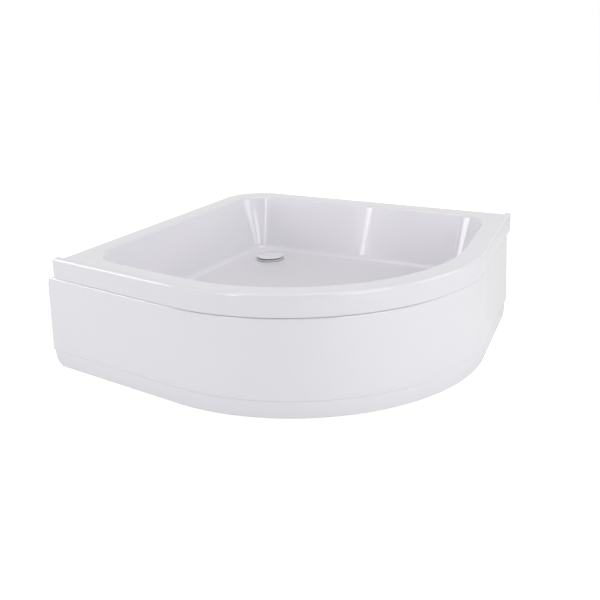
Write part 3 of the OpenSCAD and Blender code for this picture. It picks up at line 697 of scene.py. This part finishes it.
def hexagon(bm, middle, bottom, top, across, bore):
    """A hexagon nut or head: a turned ring whose outer wall is drawn in to six flats, corners chamfered."""
    flat = across / 2 * math.cos(math.pi / 6)
    crown = flat * 0.97
    mouth = bore + BORE_CHAMFER
    profile = [(mouth, bottom), (crown, bottom), (across / 2, bottom + HEAD_EDGE),
               (across / 2, top - HEAD_EDGE), (crown, top), (mouth, top), (bore, top - BORE_CHAMFER),
               (bore, bottom + BORE_CHAMFER)]
    for vert in turned(bm, profile, middle, 48):
        out = Vector((vert.co.x - middle.x, vert.co.y - middle.y, 0))
        if out.length > flat:
            turn = math.atan2(out.y, out.x) % (math.pi / 3) - math.pi / 6
            reach = flat / math.cos(turn)
            drop = (reach - crown) * math.tan(math.pi / 6)
            upper = vert.co.z - middle.z > (top + bottom) / 2
            vert.co.z = middle.z + (top - drop if upper else bottom + drop)
            vert.co.xy = middle.xy + out.xy.normalized() * reach


def weld_bead(bm, start, end, radius):
    """A row of overlapping drops, as a welder lays them along a joint."""
    drops = max(3, round((end - start).length / (radius * BEAD_SPACING)))
    for i in range(drops + 1):
        at = start.lerp(end, i / drops) + Vector((0, 0, radius * BEAD_RIPPLE * math.sin(i * 2.7)))
        bmesh.ops.create_uvsphere(bm, u_segments=10, v_segments=6, radius=radius,
                                  matrix=Matrix.Translation(at))


def bead_across(bm, low, high, y, z, bead):
    """A bead along x, across the width of a tube."""
    inset, radius = bead
    weld_bead(bm, Vector((low.x + inset, y, z)), Vector((high.x - inset, y, z)), radius)


def close(bm):
    weld(bm)
    bmesh.ops.recalc_face_normals(bm, faces=bm.faces)


def foot_middle(number):
    low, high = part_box("foot_spindle_%d" % number)
    return Vector(((low.x + high.x) / 2, (low.y + high.y) / 2, 0))


def make_tube(name, node, low, high, axis, turn=0.0):
    """A square tube of the frame, with its long edges rounded."""
    bm = bmesh.new()
    block(bm, low, high, TUBE_ROUND, turn, axis)
    add_piece(name, bm, GALVANISED, FRAME_BODY, "galvanised_steel", node)


def make_rails():
    """The five rails that run along the walls, the diagonal one, and the caps at their ends."""
    caps = bmesh.new()
    for node in RAILS:
        low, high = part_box(node)
        axis = 0 if high.x - low.x > high.y - low.y else 1
        make_tube(node.replace("rail", "tube"), node, low, high, axis)
        for end, way in ((low, -1), (high, 1)):
            cap_low, cap_high = low.copy(), high.copy()
            cap_low[axis] = min(end[axis], end[axis] + way * CAP_T)
            cap_high[axis] = max(end[axis], end[axis] + way * CAP_T)
            block(caps, cap_low, cap_high, CAP_ROUND)
    width = RAIL_W / 2
    low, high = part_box("leg_rail_diagonal")
    reach = WALL_CORNER_X - low.x - width * math.sin(DIAGONAL)
    half = (reach - ARC_CENTRE) / math.cos(DIAGONAL) / 2
    middle = place((reach + ARC_CENTRE) / 2, (reach + ARC_CENTRE) / 2, (low.z + high.z) / 2)
    size = Vector((half, width, width))
    make_tube("leg_tube_diagonal", "leg_rail_diagonal", middle - size, middle + size, 0, DIAGONAL)
    outer = place(reach, reach, middle.z) - Vector((math.cos(DIAGONAL), math.sin(DIAGONAL), 0)) * CAP_T / 2
    size = Vector((CAP_T / 2, width, width))
    block(caps, outer - size, outer + size, CAP_ROUND, DIAGONAL)
    add_piece("end_cap_heads", caps, BLACK_NYLON, FRAME_BODY, "black_plastic", "rail_end_caps")


def bead_rails(beads):
    """Beads where the leg rails pass under the top rails."""
    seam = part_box("leg_rail_diagonal")[0].z + RAIL_W
    for top_node in RAILS[:2]:
        top_low, top_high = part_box(top_node)
        for leg_node in RAILS[2:]:
            leg_low, leg_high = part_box(leg_node)
            if leg_low.y > top_high.y or leg_low.x < top_low.x:
                continue
            for y in (max(top_low.y, leg_low.y), top_high.y):
                bead_across(beads, leg_low, leg_high, y, seam, RAIL_BEAD)


def make_uprights():
    """The three uprights, and the beads that weld the frame together."""
    beads = bmesh.new()
    bead_rails(beads)
    for node in ("upright_u", "upright_v"):
        low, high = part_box(node)
        make_tube(node.replace("upright", "post"), node, low, high, 2)
        for y in (low.y, high.y):
            bead_across(beads, low, high, y, low.z, POST_BEAD)
    low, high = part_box("upright_diagonal")
    half = (high.x - low.x) / 2 / math.sqrt(2)
    middle = (low + high) / 2
    low = Vector((middle.x - half, middle.y - half, low.z))
    high = Vector((middle.x + half, middle.y + half, high.z))
    make_tube("post_diagonal", "upright_diagonal", low, high, 2, DIAGONAL)
    add_piece("weld_beads", beads, WELD_METAL, FRAME_BODY, "galvanised_steel")


def make_nuts():
    """The welded nuts and the lock nuts under the leg rails."""
    for node, name in (("weld_nuts", "welded_nuts"), ("lock_nuts", "loose_lock_nuts")):
        low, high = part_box(node)
        bm = bmesh.new()
        for number in range(1, LEGS + 1):
            hexagon(bm, foot_middle(number), low.z, high.z, NUT_D, SPINDLE_R + NUT_PLAY)
        close(bm)
        add_piece(name, bm, ZINC, FRAME_BODY, "zinc_steel", node)


def pad_shape(middle):
    """The moulded pad: a shallow ring underneath, a rounded foot and a neck round the spindle."""
    rim = 0.0225
    edge = 0.0025
    socket = 0.0061
    seat = 0.0047
    profile = [(0, 0.0009), (0.009, 0.0009), (0.0095, 0), (rim, 0)]
    profile += arc(rim, edge, edge, -math.pi / 2, 0, 5)[1:]
    profile += arc(rim, 0.004, edge, 0, math.pi / 2, 5)
    profile += [(0.019, 0.0069), (0.015, 0.0085), (0.0128, 0.0115), (0.0122, 0.0134), (0.0116, PAD_H),
                (0.0066, PAD_H), (socket, PAD_H - 0.0006), (socket, seat), (0, seat)]
    bm = bmesh.new()
    turned(bm, profile, middle, 48, False)
    close(bm)
    return bm


def stud_shape(middle):
    """The threaded spindle with its hexagon."""
    low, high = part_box("foot_spindle_1")
    core = SPINDLE_R - THREAD_DEPTH
    turns = int((high.z - PAD_H - 0.010) / PITCH)
    tip = 0.001
    bm = bmesh.new()
    thread = [(core, 0), (SPINDLE_R, 0.0006), (SPINDLE_R, 0.0009), (core, PITCH)]
    line = [bm.verts.new(middle + Vector((radius, 0, PAD_H + HEAD_H + height)))
            for radius, height in thread]
    edges = [bm.edges.new(pair) for pair in zip(line, line[1:])]
    bmesh.ops.spin(bm, geom=line + edges, cent=middle, axis=(0, 0, 1), dvec=(0, 0, PITCH / THREAD_STEPS),
                   angle=2 * math.pi * turns, steps=THREAD_STEPS * turns)
    rod = [(0, low.z), (core, low.z), (core, high.z - tip), (core - tip, high.z), (0, high.z)]
    turned(bm, rod, middle, 32, False)
    hexagon(bm, middle, PAD_H, PAD_H + HEAD_H, SPINDLE_R * 3.2, core - 0.0005)
    close(bm)
    return bm


def make_feet():
    """Six threaded spindles with their hexagon, each on its moulded pad."""
    first = foot_middle(1)
    pad = pad_shape(first)
    stud = stud_shape(first)
    for number in range(1, LEGS + 1):
        for shape, name, look, body, slot, node in (
                (pad, "foot_shoe", BLACK_NYLON, "pad", "black_plastic", "foot_pad"),
                (stud, "threaded_stud", ZINC, "spindle", "zinc_steel", "foot_spindle")):
            bm = shape.copy()
            bmesh.ops.translate(bm, verts=bm.verts, vec=foot_middle(number) - first)
            add_piece("%s_%d" % (name, number), bm, look, "%s_%d" % (body, number), slot,
                      "%s_%d" % (node, number))
    pad.free()
    stud.free()


def make_battens():
    """The softwood strips under the rim, with their sawn edges taken off."""
    for node in ("wall_batten_u", "wall_batten_v"):
        bm = bmesh.new()
        block(bm, *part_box(node), 0.0012)
        strip = new_piece(node.replace("batten", "strip"), bm, [SOFTWOOD])
        finish_piece(strip, FRAME_BODY, "board", node)


def make_drain_cover():
    """The domed cap over the drain, and the six prongs of its hub."""
    low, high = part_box("drain_cover")
    middle = Vector(((low.x + high.x) / 2, (low.y + high.y) / 2, 0))
    radius = (high.x - low.x) / 2
    rise = 0.003
    edge = 0.0015
    rim = high.z - 0.006
    bm = bmesh.new()
    under = rim + 0.0012
    profile = [(0, under), (radius - 0.005, under), (radius - 0.004, rim), (radius - edge, rim)]
    profile += arc(radius - edge, rim + edge, edge, -math.pi / 2, math.pi / 2, 8)[1:]
    sphere = (radius ** 2 + rise ** 2) / 2 / rise
    inner = radius - 0.002
    profile += [(inner * i / 12, high.z - sphere + math.sqrt(sphere ** 2 - (inner * i / 12) ** 2))
                for i in range(12, -1, -1)]
    turned(bm, profile, middle, 64, False)
    hub = DRAIN_HOLE_R - 0.0119
    for i in range(6):
        turn = math.radians(60 * i)
        at = middle + Vector((math.cos(turn), math.sin(turn), 0)) * (hub - 0.001)
        block(bm, at + Vector((-0.001, -0.005, low.z)), at + Vector((0.001, 0.005, rim + edge)),
              0.0005, turn)
    close(bm)
    add_piece("drain_cap", bm, COVER_WHITE, "cover", "white_cover", "drain_cover")


def make_trap():
    """The trap's body with a rounded bottom, its clamping lid with grip lugs, and the outlet spigot."""
    low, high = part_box("trap_body")
    middle = place(DRAIN_POS, DRAIN_POS, 0)
    lid = high.x - middle.x
    lid_z = high.z - 0.006
    body = lid - 0.004
    wall = 0.003
    bend = 0.009
    edge = 0.0008
    bm = bmesh.new()
    profile = [(0, low.z)] + arc(body - bend, low.z + bend, bend, -math.pi / 2, 0, 8)
    profile += [(body, high.z - 0.016), (body + 0.0012, high.z - 0.0148), (body + 0.0012, high.z - 0.0118),
                (body, high.z - 0.0106), (body, lid_z), (lid - edge, lid_z), (lid, high.z - 0.0052),
                (lid, high.z - edge), (lid - edge, high.z)]
    profile += [(DRAIN_HOLE_R + 0.0005, high.z), (DRAIN_HOLE_R, high.z - 0.0005), (DRAIN_HOLE_R, lid_z),
                (body - wall, lid_z), (body - wall, low.z + bend)]
    profile += [(body - bend, low.z + wall), (0, low.z + wall)]
    turned(bm, profile, middle, 64, False)
    for i in range(12):
        turn = math.radians(30 * i + 15)
        at = middle + Vector((math.cos(turn), math.sin(turn), 0)) * (body + 0.001)
        block(bm, at + Vector((-0.002, -0.003, high.z - 0.0058)),
              at + Vector((0.002, 0.003, high.z - 0.0004)), edge, turn)
    spigot = PIPE_R + 0.004
    length = high.y - middle.y
    start = body - 0.006
    mouth = 0.001
    sleeve = [(PIPE_R, start), (spigot, start), (spigot, length - mouth), (spigot - mouth, length),
              (PIPE_R, length)]
    made = turned(bm, sleeve, middle, 48)
    bmesh.ops.rotate(bm, verts=list(made), cent=middle, matrix=Matrix.Rotation(-math.pi / 2, 3, "X"))
    bmesh.ops.translate(bm, verts=list(made), vec=(0, 0, PIPE_Z))
    close(bm)
    add_piece("trap_pot", bm, WASTE_PLASTIC, FRAME_BODY, "waste_plastic", "trap_body")


make_rails()
make_uprights()
make_nuts()
make_feet()
make_battens()
make_drain_cover()
make_trap()


# Stage
FLOOR_SIZE = 20
FLOOR_LIFT = 0.7
MIRRORED_LIFT = 0.35
WORLD_LEVEL = 0.32
LAMPS = (
    ("overhead_softbox", (0.2, 0.1, 2.8), (0, 0, 0), (2.0, 2.0), 21, 0),
    ("left_softbox", (-1.75, 2.85, 1.0), (0, 0, 0.5), (1.3, 1.6), 29, 0),
    ("right_softbox", (0.9, -2.6, 1.2), (0, 0, 0.6), (1.6, 1.6), 15, 0),
    ("tall_strip", (-2.33, 1.28, 1.2), (0, 0.1, 1.2), (0.018, 2.2), 1.9, 6.3),
    ("edge_strip", (-2.33, 0.70, 1.2), (0, -0.3, 1.2), (0.014, 2.2), 1.6, 1.7),
    ("corner_strip", (-2.42, 0.30, 1.2), (0, 0, 1.2), (0.24, 2.0), 7.5, 0),
    ("front_softbox", (-1.25, -2.35, 0.9), (0, 0, 0.4), (1.4, 1.6), 20, 0),
)


def ray_is_seen(tree, mirrored=1.0):
    """One for a ray from the camera or through glass, the share mirrored for a reflected one, and zero for
    the rays that light the object."""
    path = tree.nodes.new("ShaderNodeLightPath").outputs
    through_mirror = math_node(tree, "MULTIPLY_ADD", path["Is Glossy Ray"], mirrored, path["Is Camera Ray"])
    return math_node(tree, "MULTIPLY_ADD", path["Is Transmission Ray"], 1.0, through_mirror)


def make_floor():
    """A white floor that lifts itself to white where it is seen, and keeps the shadow."""
    material, tree, shader, _ = new_material("studio_floor", Base_Color=(0.86, 0.86, 0.86, 1),
                                             Roughness=0.9, Specular_IOR_Level=0.1,
                                             Emission_Color=(1, 1, 1, 1))
    lift = math_node(tree, "MULTIPLY", ray_is_seen(tree, MIRRORED_LIFT), FLOOR_LIFT)
    link(tree, lift, shader.inputs["Emission Strength"])
    bm = bmesh.new()
    bmesh.ops.create_grid(bm, x_segments=1, y_segments=1, size=FLOOR_SIZE)
    floor = new_piece("studio_floor", bm, [material])


def make_world():
    """White where it is seen, and dimmer where it lights the object."""
    world = bpy.data.worlds.new("studio")
    bpy.context.scene.world = world
    world.use_nodes = True
    tree = world.node_tree
    back = tree.nodes["Background"]
    back.inputs["Color"].default_value = (1, 1, 1, 1)
    level = tree.nodes.new("ShaderNodeMapRange")
    level.inputs["To Min"].default_value = WORLD_LEVEL
    level.inputs["To Max"].default_value = 1.0
    link(tree, ray_is_seen(tree), level.inputs["Value"])
    link(tree, level.outputs["Result"], back.inputs["Strength"])


def make_lamp(name, at, aim, size, power, lean):
    """A rectangle of light that faces its aim, leaning by some degrees in its own plane."""
    data = bpy.data.lights.new(name, "AREA")
    data.shape = "RECTANGLE"
    data.size, data.size_y = size
    data.energy = power
    lamp = bpy.data.objects.new(name, data)
    bpy.context.scene.collection.objects.link(lamp)
    turn = (Vector(aim) - Vector(at)).to_track_quat("-Z", "Y").to_matrix().to_4x4()
    lamp.matrix_world = Matrix.Translation(at) @ turn @ Matrix.Rotation(math.radians(lean), 4, "Z")


make_floor()
make_world()
for lamp in LAMPS:
    make_lamp(*lamp)
bpy.context.scene.view_settings.view_transform = "Standard"
